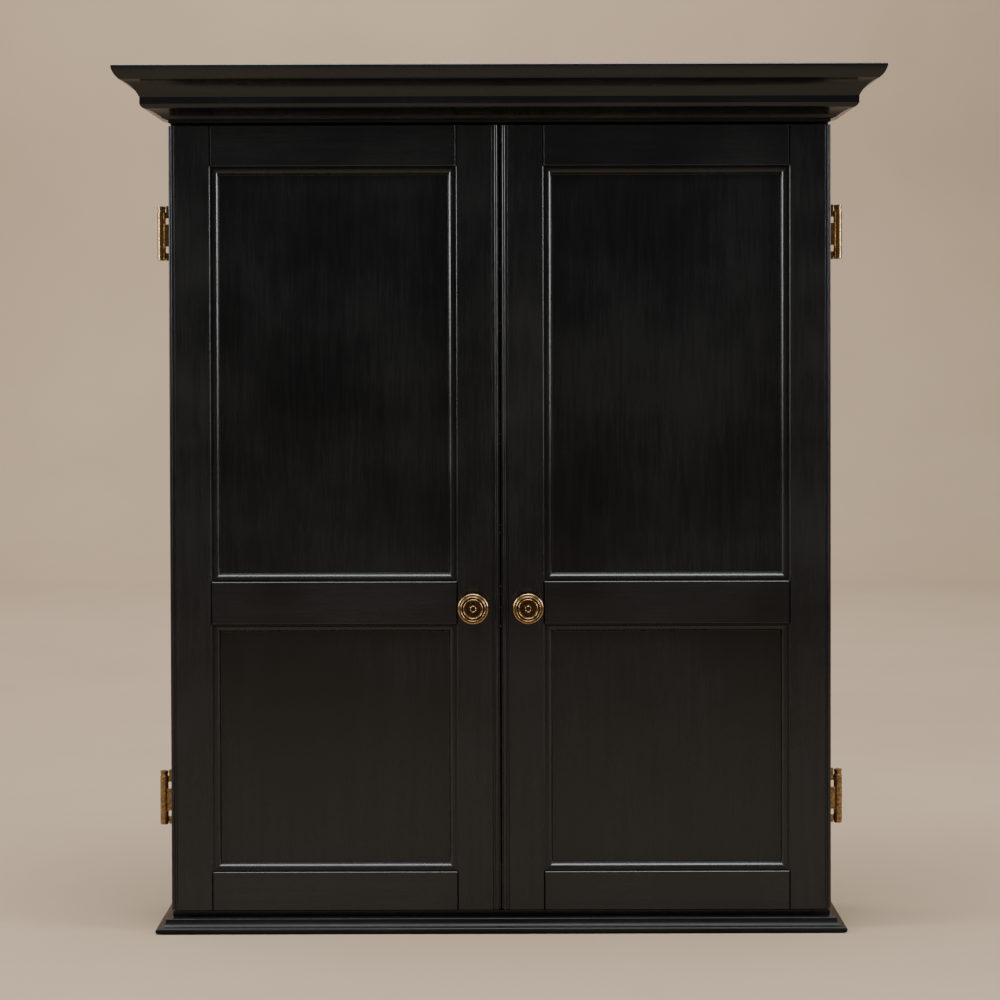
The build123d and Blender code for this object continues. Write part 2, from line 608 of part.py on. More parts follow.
# Wire spider: six rings, and a wire on every line between two sectors.
with BuildPart() as spider:
    with BuildSketch(Plane.XZ.offset(-BOARD_FRONT)):
        for radius in RING_RADII:
            Circle(radius + WIRE / 2)
            Circle(radius - WIRE / 2, mode=Mode.SUBTRACT)
        inner, outer = RING_RADII[4], RING_RADII[0]
        with PolarLocations((inner + outer) / 2, SECTORS, start_angle=180 / SECTORS):
            Rectangle(outer - inner, WIRE)
    extrude(amount=WIRE)
save(spider, "spider")

with BuildPart() as number_ring:
    with BuildSketch(Plane.XZ.offset(-BOARD_FRONT)):
        Circle(NUMBER_RING_R + NUMBER_RING_W / 2)
        Circle(NUMBER_RING_R - NUMBER_RING_W / 2, mode=Mode.SUBTRACT)
    extrude(amount=NUMBER_RING_W)
save(number_ring, "number_ring")

# ---------------------------------------------------------------- dart rack and darts

RACK_BACK = -(BACK_T + RAIL_T)
with BuildPart() as dart_rack:
    with BuildSketch(Plane.XY.offset(RACK_TOP - RACK_T)):
        with Locations((0, RACK_BACK - RACK_D / 2)):
            Rectangle(2 * RACK_HALF_W, RACK_D)
        with Locations((0, DART_Y)):
            with GridLocations(DART_PITCH, 0, DART_COUNT, 1):
                Circle(DART_HOLE_R, mode=Mode.SUBTRACT)
    extrude(amount=RACK_T)
    fillet(dart_rack.faces().sort_by(Axis.Y)[0].edges().filter_by(Axis.Z), 12.0)
    top_outline = dart_rack.faces().sort_by(Axis.Z)[-1].outer_wire()
    fillet(top_outline.edges().filter_by(Axis.X).sort_by(Axis.Y)[0], 2.5)
save(dart_rack, "dart_rack")

# Barrel outline, as (radius, height from the nose): tapered nose and tail, five grip grooves.
with BuildLine() as barrel_outline:
    grip = [(BARREL_R - depth, 14.0 + 4.0 * i + step)
            for i in range(6) for depth, step in ((0, 0), (0.5, 0.4), (0.5, 1.2), (0, 1.6))]
    Polyline((0, 0), (POINT_R + 0.6, 0), (BARREL_R, 8.0), *grip, (BARREL_R, BARREL_L - 6.0),
             (STEM_R + 0.4, BARREL_L), (0, BARREL_L), close=True)


def dart_pieces(x):
    """Point, barrel, stem and flight of a dart hanging tip down in the rack."""
    tip, tail = DART_NOSE - POINT_L, DART_NOSE + BARREL_L
    with BuildLine() as point_outline:
        point_top = POINT_L - SCREWED_GAP
        Polyline((0, 0), (POINT_R, 7.0), (POINT_R, point_top), (0, point_top), close=True)
    point = turned((x, DART_Y, tip), (0, 0, 1), point_outline)
    barrel = turned((x, DART_Y, DART_NOSE), (0, 0, 1), barrel_outline)
    with BuildLine() as stem_outline:
        Polyline((0, SCREWED_GAP), (STEM_R, SCREWED_GAP), (STEM_R * 0.75, STEM_L * 0.4),
                 (STEM_R, STEM_L - FLIGHT_SLEEVE), (STEM_R, STEM_L), (0, STEM_L), close=True)
    stem = turned((x, DART_Y, tail), (0, 0, 1), stem_outline)

    flight_z = tail + STEM_L - FLIGHT_SLEEVE
    with BuildPart() as flight:
        for diagonal in (Vector(1, 1, 0), Vector(1, -1, 0)):
            with BuildSketch(Plane(origin=(x, DART_Y, flight_z), x_dir=diagonal,
                                   z_dir=diagonal.cross(Vector(0, 0, 1)))):
                with BuildLine():
                    Polyline((-4.0, 0), (4.0, 0), (FLIGHT_R, 15.0), (FLIGHT_R, 36.0), (11.0, FLIGHT_H),
                             (-11.0, FLIGHT_H), (-FLIGHT_R, 36.0), (-FLIGHT_R, 15.0), close=True)
                make_face()
            extrude(amount=FLIGHT_T / 2, both=True)
        with BuildSketch(Plane.XY.offset(flight_z)):
            with Locations((x, DART_Y)):
                Circle(STEM_R + 0.9)
        extrude(amount=FLIGHT_SLEEVE + 1.0)
        with BuildSketch(Plane.XY.offset(flight_z)):
            with Locations((x, DART_Y)):
                Circle(STEM_R + SCREWED_GAP)
        extrude(amount=FLIGHT_SLEEVE + SCREWED_GAP, mode=Mode.SUBTRACT)
    return [point, barrel, stem, flight]


for number in range(DART_COUNT):
    dart_x = (number - (DART_COUNT - 1) / 2) * DART_PITCH
    save(group(dart_pieces(dart_x)), f"dart_{number + 1}")
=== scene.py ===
import math

import bmesh
import bpy
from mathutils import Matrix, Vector


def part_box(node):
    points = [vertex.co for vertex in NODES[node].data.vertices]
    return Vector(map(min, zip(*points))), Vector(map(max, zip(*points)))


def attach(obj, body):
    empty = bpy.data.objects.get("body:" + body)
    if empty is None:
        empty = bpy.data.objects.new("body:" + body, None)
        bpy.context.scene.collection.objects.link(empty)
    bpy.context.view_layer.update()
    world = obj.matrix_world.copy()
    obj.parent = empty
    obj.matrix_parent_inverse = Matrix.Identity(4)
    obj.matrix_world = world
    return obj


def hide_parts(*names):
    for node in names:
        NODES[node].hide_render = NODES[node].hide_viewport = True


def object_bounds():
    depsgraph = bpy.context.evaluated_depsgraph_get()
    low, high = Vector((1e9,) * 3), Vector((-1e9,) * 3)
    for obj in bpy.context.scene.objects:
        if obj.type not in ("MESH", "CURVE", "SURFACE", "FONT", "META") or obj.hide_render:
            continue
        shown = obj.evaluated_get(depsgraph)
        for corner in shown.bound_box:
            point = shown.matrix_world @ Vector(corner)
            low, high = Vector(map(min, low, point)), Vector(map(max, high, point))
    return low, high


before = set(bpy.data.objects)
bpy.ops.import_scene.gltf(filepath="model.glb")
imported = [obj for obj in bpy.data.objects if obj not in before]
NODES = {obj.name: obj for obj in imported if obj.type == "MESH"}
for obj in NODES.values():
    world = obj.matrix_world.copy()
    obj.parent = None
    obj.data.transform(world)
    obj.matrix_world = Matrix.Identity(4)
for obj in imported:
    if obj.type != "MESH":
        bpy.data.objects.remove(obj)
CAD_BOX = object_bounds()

# Wall-hung dart board cabinet. Metres, in the CAD model's frame: X to the right seen from the
# front, the front faces -Y, Z up, and the origin on the wall behind the bull of the board.

MM = 0.001
SIDES = ("left", "right")


# ---------------------------------------------------------------- camera

CAMERA_DISTANCE = 2.40      # from the front of the doors
EYE_Z = 0.0795
LENS = 86.4                 # with the 36 mm sensor, 1 mm on the doors is 1 pixel
TILT_DOWN = math.radians(1.0)
ROLL = math.radians(0.15)
SHIFT_Y = -0.108

door_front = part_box("left_door_outer_stile")[0].y
camera_data = bpy.data.cameras.new("camera")
camera_data.lens = LENS
camera_data.sensor_width = 36.0
camera_data.shift_y = SHIFT_Y
camera = bpy.data.objects.new("camera", camera_data)
camera.location = (0.0, door_front - CAMERA_DISTANCE, EYE_Z)
camera.rotation_euler = (math.pi / 2 - TILT_DOWN, ROLL, 0.0)
bpy.context.scene.collection.objects.link(camera)
bpy.context.scene.camera = camera


# ---------------------------------------------------------------- shader helper

class Tree:
    """A material under construction, with short names for the nodes it uses."""

    def __init__(self, name):
        self.material = bpy.data.materials.new(name)
        self.material.use_nodes = True
        self.nodes = self.material.node_tree.nodes
        self.links = self.material.node_tree.links
        self.shader = self.nodes["Principled BSDF"]
        self.position = self.add("ShaderNodeTexCoord").outputs["Object"]

    def add(self, kind, inputs=None, **settings):
        made = self.nodes.new(kind)
        for key, value in settings.items():
            setattr(made, key, value)
        for socket, value in (inputs or {}).items():
            self.give(made.inputs[socket], value)
        return made

    def give(self, socket, value):
        if isinstance(value, bpy.types.NodeSocket):
            self.links.new(value, socket)
        else:
            socket.default_value = value

    def stretched(self, scale):
        return self.add("ShaderNodeVectorMath", {0: self.position, 1: scale},
                        operation="MULTIPLY").outputs[0]

    def noise(self, scale, detail=4.0, roughness=0.55, distortion=0.0):
        """Noise from 0 to 1. A scale is per metre, one number or one for each axis."""
        scale = scale if isinstance(scale, tuple) else (scale,) * 3
        made = self.add("ShaderNodeTexNoise", {
            "Vector": self.stretched(scale), "Scale": 1.0, "Detail": detail,
            "Roughness": roughness, "Distortion": distortion})
        return made.outputs["Fac"]

    def cells(self, scale, output="Distance", feature="F1"):
        scale = scale if isinstance(scale, tuple) else (scale,) * 3
        made = self.add("ShaderNodeTexVoronoi", {"Vector": self.stretched(scale), "Scale": 1.0},
                        feature=feature)
        return made.outputs[output]

    def ramp(self, value, low, high, start=0.0, end=1.0):
        """Maps low..high of a value to start..end."""
        made = self.add("ShaderNodeMapRange", {
            "Value": value, "From Min": low, "From Max": high, "To Min": start, "To Max": end},
            interpolation_type="SMOOTHSTEP")
        return made.outputs["Result"]

    def blend(self, factor, first, second):
        made = self.add("ShaderNodeMix", data_type="RGBA")
        self.give(made.inputs[0], factor)
        self.give(made.inputs[6], first)
        self.give(made.inputs[7], second)
        return made.outputs[2]

    def maths(self, operation, first, second=0.0):
        return self.add("ShaderNodeMath", {0: first, 1: second}, operation=operation).outputs[0]

    def bump(self, height, strength, distance, normal=None):
        inputs = {"Height": height, "Strength": strength, "Distance": distance}
        if normal is not None:
            inputs["Normal"] = normal
        return self.add("ShaderNodeBump", inputs).outputs["Normal"]

    def edges(self, radius, low=0.02, high=0.25):
        """1 on arrises, 0 on flat faces."""
        rounded = self.add("ShaderNodeBevel", {"Radius": radius}, samples=4).outputs[0]
        flat = self.add("ShaderNodeNewGeometry").outputs["Normal"]
        same = self.add("ShaderNodeVectorMath", {0: rounded, 1: flat}, operation="DOT_PRODUCT")
        return self.ramp(self.maths("SUBTRACT", 1.0, same.outputs["Value"]), low, high)

    def finish(self, **inputs):
        """Sets the shader's own sockets, by name with _ for a space."""
        for key, value in inputs.items():
            self.give(self.shader.inputs[key.replace("_", " ")], value)
        return self.material


def colour(red, green, blue):
    return (red, green, blue, 1.0)


# ---------------------------------------------------------------- materials

GRAIN_ACROSS = 150.0
GRAIN_ALONG = 7.0


def paint(name, axis, dark, light, rough, tooth=1.0, shine=0.5):
    """Satin black paint brushed along an axis, with a painted highlight lightening every arris, rubbed to
    brown wood here and there on arrises.
    """
    tree = Tree(name)
    stretch = tuple(GRAIN_ALONG if i == axis else GRAIN_ACROSS for i in range(3))
    fine = tuple(4 * s for s in stretch)
    brushed = tree.noise(stretch, detail=5.0, roughness=0.6)
    pores = tree.noise(fine, detail=3.0, roughness=0.7)
    cloudy = tree.noise(7.0, detail=3.0)
    rubbed = tree.noise(160.0, detail=6.0, roughness=0.75)
    tone = tree.maths("ADD", tree.maths("MULTIPLY", brushed, 0.4), tree.maths("MULTIPLY", cloudy, 0.6))
    body = tree.blend(tree.ramp(tone, 0.35, 0.65), dark, light)
    arris = tree.edges(0.0011)
    worn = tree.maths("MULTIPLY", arris, tree.ramp(rubbed, 0.60, 0.72))
    # Every arris is painted lighter: a painted highlight standing for light caught on the rounded edges.
    painted_arris_highlight = tree.blend(tree.maths("MULTIPLY", arris, 0.22), body, colour(0.030, 0.027, 0.025))
    coloured = tree.blend(tree.maths("MULTIPLY", worn, 0.60), painted_arris_highlight, colour(0.13, 0.085, 0.05))
    sheen = tree.maths("ADD", tree.ramp(cloudy, 0.3, 0.7, rough - 0.05, rough + 0.05),
                       tree.ramp(pores, 0.3, 0.8, -0.02, 0.06))
    relief = tree.bump(brushed, 0.10 * tooth, 0.00020)
    relief = tree.bump(pores, 0.07 * tooth, 0.00010, relief)
    relief = tree.bump(tree.noise(30.0, detail=2.0), 0.06 * tooth, 0.0005, relief)
    return tree.finish(Base_Color=coloured, Roughness=sheen, Normal=relief, IOR=1.48,
                       Specular_Tint=colour(0.90, 0.95, 1.0), Specular_IOR_Level=shine)


def brass(name, patina=None):
    """Antiqued brass: bright on what stands proud, dark brown in the hollows."""
    tree = Tree(name)
    mottled = tree.noise(420.0, detail=6.0, roughness=0.65)
    specks = tree.noise(1700.0, detail=3.0, roughness=0.6)
    if patina:
        proud = tree.add("ShaderNodeAttribute", attribute_name=patina).outputs["Fac"]
    else:
        proud = tree.maths("ADD", 0.62, tree.maths("MULTIPLY", tree.edges(0.0009), 0.4))
    mixed = tree.maths("ADD", proud, tree.ramp(mottled, 0.3, 0.7, -0.16, 0.12))
    mixed = tree.maths("ADD", mixed, tree.ramp(specks, 0.35, 0.7, -0.08, 0.08))
    deep = tree.blend(tree.ramp(mixed, 0.05, 0.45), colour(0.020, 0.012, 0.008),
                      colour(0.12, 0.070, 0.032))
    metal = tree.blend(tree.ramp(mixed, 0.40, 0.95), deep, colour(0.46, 0.33, 0.16))
    rough = tree.ramp(mixed, 0.0, 1.0, 0.40, 0.16)
    relief = tree.bump(mottled, 0.15, 0.0002)
    relief = tree.bump(specks, 0.12, 0.00008, relief)
    return tree.finish(Base_Color=metal, Metallic=0.96, Roughness=rough, Normal=relief)


def steel(name, light, rough, flecks=900.0):
    tree = Tree(name)
    spangle = tree.noise(flecks, detail=4.0)
    stain = tree.noise(60.0, detail=4.0)
    shade = tuple(c * 0.62 for c in light[:3]) + (1.0,)
    toned = tree.blend(tree.ramp(spangle, 0.3, 0.7), shade, light)
    stained = tree.maths("MULTIPLY", tree.ramp(stain, 0.55, 0.75), 0.35)
    toned = tree.blend(stained, toned, colour(0.16, 0.13, 0.10))
    relief = tree.bump(spangle, 0.10, 0.00008)
    return tree.finish(Base_Color=toned, Metallic=0.95, Normal=relief,
                       Roughness=tree.ramp(stain, 0.3, 0.7, rough - 0.06, rough + 0.1))


def sisal(name, dyed, shade):
    """Packed bristle ends: fine pits, fibre flecks and a few dart holes, with painted shade making the holes
    near-black.
    """
    tree = Tree(name)
    bristle = tree.cells(1500.0)
    fibre = tree.noise(2600.0, detail=3.0, roughness=0.7)
    wear = tree.noise(28.0, detail=4.0)
    holes = tree.cells(260.0)
    toned = tree.blend(tree.ramp(fibre, 0.3, 0.75), shade, dyed)
    toned = tree.blend(tree.maths("MULTIPLY", tree.ramp(wear, 0.45, 0.75), 0.35), toned, shade)
    # The dart holes are painted near-black: painted shade standing for the dark inside each hole.
    painted_hole_shade = tree.maths("SUBTRACT", 1.0, tree.ramp(holes, 0.05, 0.13))
    toned = tree.blend(tree.maths("MULTIPLY", painted_hole_shade, 0.55), toned, colour(0.012, 0.010, 0.008))
    relief = tree.bump(bristle, 0.5, 0.0003)
    relief = tree.bump(tree.ramp(holes, 0.03, 0.16), 0.35, 0.0005, relief)
    return tree.finish(Base_Color=toned, Roughness=0.92, Normal=relief)


def cork(name):
    tree = Tree(name)
    grain = tree.cells(170.0, "Color")
    crumbs = tree.cells(420.0, "Color")
    mixed = tree.add("ShaderNodeMix", {0: 0.45}, data_type="RGBA")
    tree.give(mixed.inputs[6], grain)
    tree.give(mixed.inputs[7], crumbs)
    value = tree.add("ShaderNodeRGBToBW", {0: mixed.outputs[2]}).outputs[0]
    toned = tree.blend(tree.ramp(value, 0.25, 0.75), colour(0.13, 0.06, 0.025), colour(0.46, 0.27, 0.13))
    gaps = tree.cells(170.0, feature="DISTANCE_TO_EDGE")
    toned = tree.blend(tree.ramp(gaps, 0.0, 0.10), colour(0.07, 0.035, 0.015), toned)
    relief = tree.bump(tree.ramp(gaps, 0.0, 0.2), 0.4, 0.0004)
    return tree.finish(Base_Color=toned, Roughness=0.86, Normal=relief)


def plywood(name, axis):
    tree = Tree(name)
    stretch = tuple(3.0 if i == axis else 60.0 for i in range(3))
    figure = tree.noise(stretch, detail=6.0, roughness=0.6, distortion=0.6)
    pores = tree.noise(tuple(14 * s for s in stretch), detail=2.0)
    toned = tree.blend(tree.ramp(figure, 0.3, 0.7), colour(0.33, 0.20, 0.10), colour(0.56, 0.40, 0.24))
    open_pores = tree.maths("MULTIPLY", tree.ramp(pores, 0.58, 0.72), 0.5)
    toned = tree.blend(open_pores, toned, colour(0.16, 0.085, 0.04))
    relief = tree.bump(pores, 0.25, 0.0002)
    return tree.finish(Base_Color=toned, Roughness=tree.ramp(figure, 0.3, 0.7, 0.55, 0.70), Normal=relief)


def chalkboard(name):
    """Matte slate paint with the ghost of wiped chalk."""
    tree = Tree(name)
    wiped = tree.noise((9.0, 9.0, 14.0), detail=6.0, roughness=0.7, distortion=0.4)
    streaks = tree.noise((240.0, 240.0, 14.0), detail=4.0, roughness=0.65)
    grit = tree.noise(2200.0, detail=2.0)
    dust = tree.maths("MULTIPLY", tree.ramp(wiped, 0.42, 0.78), tree.ramp(streaks, 0.25, 0.75, 0.4, 1.0))
    toned = tree.blend(tree.maths("MULTIPLY", dust, 0.22), colour(0.013, 0.015, 0.014),
                       colour(0.26, 0.27, 0.26))
    relief = tree.bump(grit, 0.2, 0.0001)
    return tree.finish(Base_Color=toned, Roughness=tree.ramp(dust, 0.0, 1.0, 0.62, 0.88), Normal=relief)


def plastic(name, body, rough):
    tree = Tree(name)
    haze = tree.noise(90.0, detail=4.0)
    texture = tree.noise(1500.0, detail=3.0)
    shade = tuple(c * 0.7 for c in body[:3]) + (1.0,)
    toned = tree.blend(tree.ramp(haze, 0.3, 0.7), shade, body)
    relief = tree.bump(texture, 0.12, 0.0001)
    return tree.finish(Base_Color=toned, Roughness=tree.ramp(haze, 0.3, 0.7, rough - 0.05, rough + 0.08),
                       Normal=relief)


FRAME_DARK, FRAME_LIGHT = colour(0.0020, 0.0021, 0.0024), colour(0.0056, 0.0058, 0.0064)
PANEL_DARK, PANEL_LIGHT = colour(0.0014, 0.0015, 0.0018), colour(0.0038, 0.0040, 0.0046)
frame_paint = [paint(f"black_paint_along_{'xyz'[axis]}", axis, FRAME_DARK, FRAME_LIGHT, rough, tooth)
               for axis, rough, tooth in ((0, 0.23, 0.45), (1, 0.27, 1.0), (2, 0.28, 1.0))]
base_paint = [paint(f"black_paint_base_{'xy'[axis]}", axis, FRAME_DARK, FRAME_LIGHT, 0.34, 0.45, 0.16)
              for axis in range(2)]
panel_paint = paint("black_paint_panel", 2, PANEL_DARK, PANEL_LIGHT, 0.25)
hardware_brass = brass("antique_brass_hardware")
knob_brass = brass("antique_brass_knob", patina="proud")
zinc = steel("zinc_plated_steel", colour(0.55, 0.55, 0.56), 0.36)
wire_steel = steel("bright_wire", colour(0.50, 0.50, 0.49), 0.32)
barrel_steel = steel("dart_barrel_steel", colour(0.48, 0.46, 0.43), 0.30, flecks=1600.0)
band_steel = steel("blued_band_steel", colour(0.16, 0.16, 0.17), 0.38)
cork_sheet = cork("cork_sheet")
bare_plywood = plywood("bare_plywood", 2)
slate_paint = chalkboard("chalkboard_paint")
catch_plastic = plastic("brown_plastic", colour(0.10, 0.05, 0.028), 0.42)
black_plastic = plastic("black_plastic", colour(0.012, 0.012, 0.013), 0.35)
SISAL = {
    "black": sisal("sisal_black", colour(0.030, 0.027, 0.024), colour(0.008, 0.007, 0.006)),
    "cream": sisal("sisal_cream", colour(0.62, 0.52, 0.33), colour(0.30, 0.23, 0.12)),
    "red": sisal("sisal_red", colour(0.42, 0.030, 0.022), colour(0.16, 0.012, 0.010)),
    "green": sisal("sisal_green", colour(0.020, 0.16, 0.055), colour(0.008, 0.062, 0.022)),
}
FLIGHTS = [plastic("flight_red", colour(0.40, 0.018, 0.015), 0.30),
           plastic("flight_green", colour(0.010, 0.13, 0.055), 0.30)]

HORIZONTAL = ("top_rail", "lock_rail", "bottom_rail", "frieze_rail", "crown_front",
              "crown_cap", "top_board", "bottom_board", "hanging_rail", "dart_rack")
DEEP = ("crown_left", "crown_right")


def material_for(node):
    """The finish of a CAD node that is shown as it is."""
    if node == "back_panel":
        return bare_plywood
    if node == "cork_backing":
        return cork_sheet
    if node == "magnet_catches":
        return catch_plastic
    if node == "board_band":
        return band_steel
    if node.endswith("chalkboard"):
        return slate_paint
    if node.endswith("_panel") or node.endswith("panel_mouldings"):
        return panel_paint
    if node in ("board_bracket", "hanging_bolt") or node.endswith("strike_plate"):
        return zinc
    if "hinge" in node or node.endswith("screws"):
        return hardware_brass
    if node.startswith("base_"):
        return base_paint[node != "base_front"]
    if node.endswith(HORIZONTAL):
        return frame_paint[0]
    if node in DEEP:
        return frame_paint[1]
    return frame_paint[2]


for node_name, node_object in NODES.items():
    node_object.data.materials.clear()
    node_object.data.materials.append(material_for(node_name))


# ---------------------------------------------------------------- mesh helpers

def piece(name, verts, faces, body, stands_for, materials, finishes=None, smooth=True):
    """A new mesh piece that rides on a body and stands for CAD nodes."""
    mesh = bpy.data.meshes.new(name)
    mesh.from_pydata([tuple(v) for v in verts], [], faces)
    for material in materials:
        mesh.materials.append(material)
    for polygon in mesh.polygons:
        polygon.use_smooth = smooth
        if finishes:
            polygon.material_index = finishes[polygon.index]
    shaped = bmesh.new()
    shaped.from_mesh(mesh)
    bmesh.ops.recalc_face_normals(shaped, faces=shaped.faces)
    shaped.to_mesh(mesh)
    shaped.free()
    made = bpy.data.objects.new(name, mesh)
    bpy.context.scene.collection.objects.link(made)
    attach(made, body)
    if stands_for:
        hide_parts(*stands_for)
    return made


class Shape:
    """Vertices and faces gathered from several parts, with a finish for each face."""

    def __init__(self):
        self.verts, self.faces, self.finishes = [], [], []

    def join(self, verts, faces, finish=0):
        first = len(self.verts)
        self.verts += [Vector(v) for v in verts]
        self.faces += [tuple(first + i for i in face) for face in faces]
        self.finishes += [finish] * len(faces)


ON_AXIS = 1e-7                      # a smaller radius is one point on the axis


def lathe(outline, segments, origin, axis):
    """Spins (radius, height) points about an axis through origin; ends on the axis close."""
    axis = Vector(axis).normalized()
    across = Vector((1, 0, 0)) if abs(axis.x) < 0.5 else Vector((0, 0, 1))
    upright = axis.cross(across)
    verts, rings = [], []
    for radius, height in outline:
        centre = Vector(origin) + axis * height
        if radius < ON_AXIS:
            rings.append([len(verts)])
            verts.append(centre)
            continue
        rings.append(list(range(len(verts), len(verts) + segments)))
        for i in range(segments):
            turn = 2 * math.pi * i / segments
            verts.append(centre + radius * (across * math.cos(turn) + upright * math.sin(turn)))
    faces = []
    for lower, upper in zip(rings, rings[1:]):
        for i in range(segments):
            j = (i + 1) % segments
            corners = [lower[i % len(lower)], lower[j % len(lower)],
                       upper[j % len(upper)], upper[i % len(upper)]]
            faces.append(tuple(dict.fromkeys(corners)))
    return verts, faces


def tube(path, radius, sides, closed=False):
    """A round wire along a path in a plane facing -Y."""
    verts, faces = [], []
    count = len(path)
    for i, point in enumerate(path):
        before = path[i - 1] if closed or i else path[i]
        after = path[(i + 1) % count] if closed or i < count - 1 else path[i]
        along = (after - before).normalized()
        side = along.cross(Vector((0, 1, 0))).normalized()
        for k in range(sides):
            turn = 2 * math.pi * k / sides
            verts.append(point + radius * (side * math.cos(turn) + Vector((0, 1, 0)) * math.sin(turn)))
    for i in range(count if closed else count - 1):
        for k in range(sides):
            a, b = i * sides + k, i * sides + (k + 1) % sides
            c, d = ((i + 1) % count) * sides + (k + 1) % sides, ((i + 1) % count) * sides + k
            faces.append((a, b, c, d))
    if not closed:
        faces.append(tuple(range(sides)))
        faces.append(tuple(range((count - 1) * sides, count * sides)))
    return verts, faces


def arc_points(centre, radius, start, end, steps):
    """Points on an arc, as (first, second) pairs, with angles in degrees."""
    turns = [math.radians(start + (end - start) * i / steps) for i in range(steps + 1)]
    return [(centre[0] + radius * math.cos(t), centre[1] + radius * math.sin(t)) for t in turns]


# ---------------------------------------------------------------- knobs

# Rings that stand up from the dished face: radius, half width, height, in mm.
KNOB_RINGS = ((2.8, 0.70, 1.5), (9.5, 0.75, 1.6), (11.95, 0.70, 1.6))
KNOB_FACE = 22.6
KNOB_RIM_R = 13.95                  # centre of the rounded rim's section
KNOB_FACE_EDGE = KNOB_RIM_R - 0.6
KNOB_FACE_STEPS = 90
KNOB_SEGMENTS = 96
# The rim, the hollow neck and the foot's cove: centre, radius, start and end in degrees, facets,
# and how proud the brass stands there, from 0 in a hollow to 1.
KNOB_ARCS = (((KNOB_RIM_R, 21.4), 1.33, 100, -50, 14, 0.74),
             ((15.2, 8.6), 9.5, 96, 178, 16, 0.30),
             ((10.2, 6.2), 4.5, 172, 245, 8, 0.25))
# Radius, height and how proud, down the foot and across the hidden back.
KNOB_FOOT = ((8.5, 1.9, 0.45), (8.6, 1.4, 0.6), (8.6, 0.3, 0.5), (8.4, 0.0, 0.2), (0.0, 0.0, 0.2))


def knob_outline():
    """Outline of the knob from the middle of its face to its foot, with how proud each point is."""
    outline = []
    for i in range(KNOB_FACE_STEPS + 1):
        radius = KNOB_FACE_EDGE * i / KNOB_FACE_STEPS
        rings = sum(h * math.exp(-((radius - r) / w) ** 2) for r, w, h in KNOB_RINGS)
        dish = 0.35 * math.cos(radius / KNOB_RIM_R * math.pi)
        outline.append((radius, KNOB_FACE - dish * 0.5 + rings, 0.24 + 0.36 * rings))
    for centre, section, start, end, facets, proud in KNOB_ARCS:
        outline += [(r, h, proud) for r, h in arc_points(centre, section, start, end, facets)]
    return outline + list(KNOB_FOOT)


def make_knob(name):
    low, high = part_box(f"{name}_knob")
    origin = Vector(((low.x + high.x) / 2, high.y, (low.z + high.z) / 2))
    outline = knob_outline()
    verts, faces = lathe([(r * MM, h * MM) for r, h, _ in outline], KNOB_SEGMENTS, origin, (0, -1, 0))
    knob = piece(f"{name}_knob_turned", verts, faces, f"{name}_door", [f"{name}_knob"],
                 [knob_brass])
    proud = knob.data.attributes.new("proud", "FLOAT", "POINT")
    levels = []
    for radius, _, level in outline:
        levels += [level] * (1 if radius * MM < ON_AXIS else KNOB_SEGMENTS)
    proud.data.foreach_set("value", levels)


for name in SIDES:
    make_knob(name)


# ---------------------------------------------------------------- dart board

# Radii of the beds, in mm, from the bull outwards, with the colours of odd and even sectors.
BEDS = ((6.35, "red", "red"), (15.9, "green", "green"), (99.0, "black", "cream"),
        (107.0, "red", "green"), (162.0, "black", "cream"), (170.0, "red", "green"),
        (224.7, "black", "black"))
WIRE_RADII = (170.0, 162.0, 107.0, 99.0, 15.9, 6.35)
SECTORS = 20
SECTOR = 360.0 / SECTORS
ARC_STEPS = 8                       # facets in each sector's arc
WIRE_R = 0.6
SISAL_NAMES = list(SISAL)


def on_board(radius, degrees, y):
    """A point on the board, with 0 degrees at the top and angles running clockwise."""
    turn = math.radians(degrees)
    return Vector((radius * math.sin(turn), y, radius * math.cos(turn)))


def make_sisal():
    """The playing face, bed by bed, with the rim and back of the disc behind it."""
    low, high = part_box("sisal_board")
    steps = SECTORS * ARC_STEPS
    turns = [SECTOR * (i / ARC_STEPS - 0.5) for i in range(steps)]
    verts, rings = [Vector((0, low.y, 0))], [[0]]
    for radius, _, _ in BEDS:
        rings.append(list(range(len(verts), len(verts) + steps)))
        verts += [on_board(radius * MM, turn, low.y) for turn in turns]
    rings.append(list(range(len(verts), len(verts) + steps)))
    verts += [on_board(BEDS[-1][0] * MM, turn, high.y) for turn in turns]
    rings.append([len(verts)])
    verts.append(Vector((0, high.y, 0)))
    colours = [bed[1:] for bed in BEDS] + [("black", "black")] * 2
    faces, finishes = [], []
    for (inner, outer), pair in zip(zip(rings, rings[1:]), colours):
        for i in range(steps):
            j = (i + 1) % steps
            corners = [inner[i % len(inner)], inner[j % len(inner)],
                       outer[j % len(outer)], outer[i % len(outer)]]
            faces.append(tuple(dict.fromkeys(corners)))
            finishes.append(SISAL_NAMES.index(pair[(i // ARC_STEPS) % 2]))
    piece("sisal_beds", verts, faces, "dart_board", ["sisal_board"],
          [SISAL[key] for key in SISAL_NAMES], finishes, smooth=False)


def make_spider():
    """Round wires between the beds: six rings and a spoke on every line between sectors."""
    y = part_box("spider")[1].y - WIRE_R * MM
    shape = Shape()
    for radius in WIRE_RADII:
        steps = 120 if radius > 50 else 48
        path = [on_board(radius * MM, 360.0 * i / steps, y) for i in range(steps)]
        shape.join(*tube(path, WIRE_R * MM, 8, closed=True))
    for k in range(SECTORS):
        turn = SECTOR * (k + 0.5)
        path = [on_board(radius * MM, turn, y) for radius in (WIRE_RADII[4], WIRE_RADII[0])]
        shape.join(*tube(path, WIRE_R * MM, 8))
    piece("spider_wires", shape.verts, shape.faces, "dart_board", ["spider"], [wire_steel])


